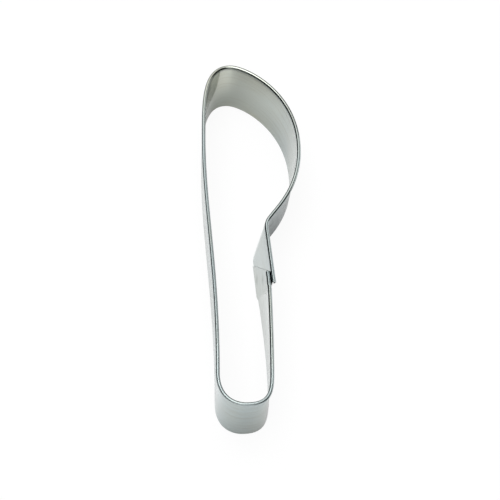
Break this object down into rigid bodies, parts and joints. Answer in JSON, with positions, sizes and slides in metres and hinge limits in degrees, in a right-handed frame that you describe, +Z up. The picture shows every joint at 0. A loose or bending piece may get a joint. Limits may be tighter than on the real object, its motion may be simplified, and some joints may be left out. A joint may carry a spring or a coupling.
{
  "type": "cookie cutter",
  "caption": "Knife-shaped cookie cutter: an upright tinplate strip with a rolled rim, bent to a table-knife outline and lapped shut with spot welds.",
  "frame": {"origin": "middle of the outline's box, on the plane of the cutting edge", "axes": "+Z up from the cutting edge to the rolled rim, +Y along the knife towards the tip of the blade, +X towards the blade's belly and the notch"},
  "size_m": [0.035, 0.1344, 0.0254],
  "materials": {
    "tinplate": "bare rolled tinplate, satin bright, with faint lines along the strip",
    "weld": "dull grey spot-weld metal between the lapped ends"
  },
  "bodies": {
    "root": {"cutter_strip": "tinplate", "weld_lower": "weld", "weld_upper": "weld"}
  },
  "joints": []
}
